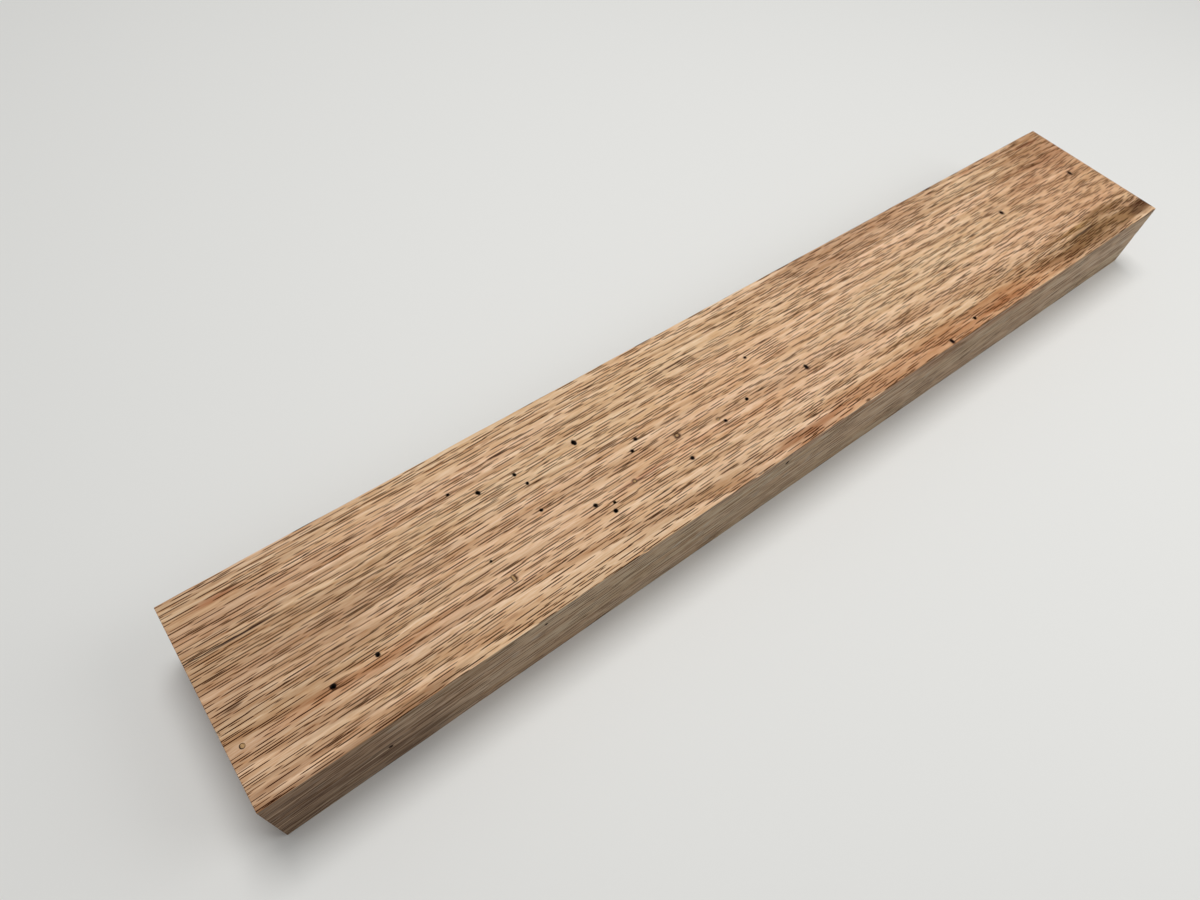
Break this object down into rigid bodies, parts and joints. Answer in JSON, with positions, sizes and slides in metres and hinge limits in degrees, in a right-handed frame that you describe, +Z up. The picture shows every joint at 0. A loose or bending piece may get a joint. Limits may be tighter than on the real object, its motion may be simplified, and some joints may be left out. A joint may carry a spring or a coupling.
{
  "type": "oak board",
  "caption": "Length of raw planed red oak with square ends, open grain, small borer holes and mineral stains.",
  "frame": {"origin": "on the underside, below the middle of the board", "axes": "+X along the grain and the length, +Y across the width from the front long face to the back one, +Z up through the thickness"},
  "size_m": [0.61, 0.097, 0.045],
  "materials": {
    "raw_oak": "raw planed red oak, matt, unfinished"
  },
  "bodies": {
    "root": {"board": "raw_oak"}
  },
  "joints": []
}
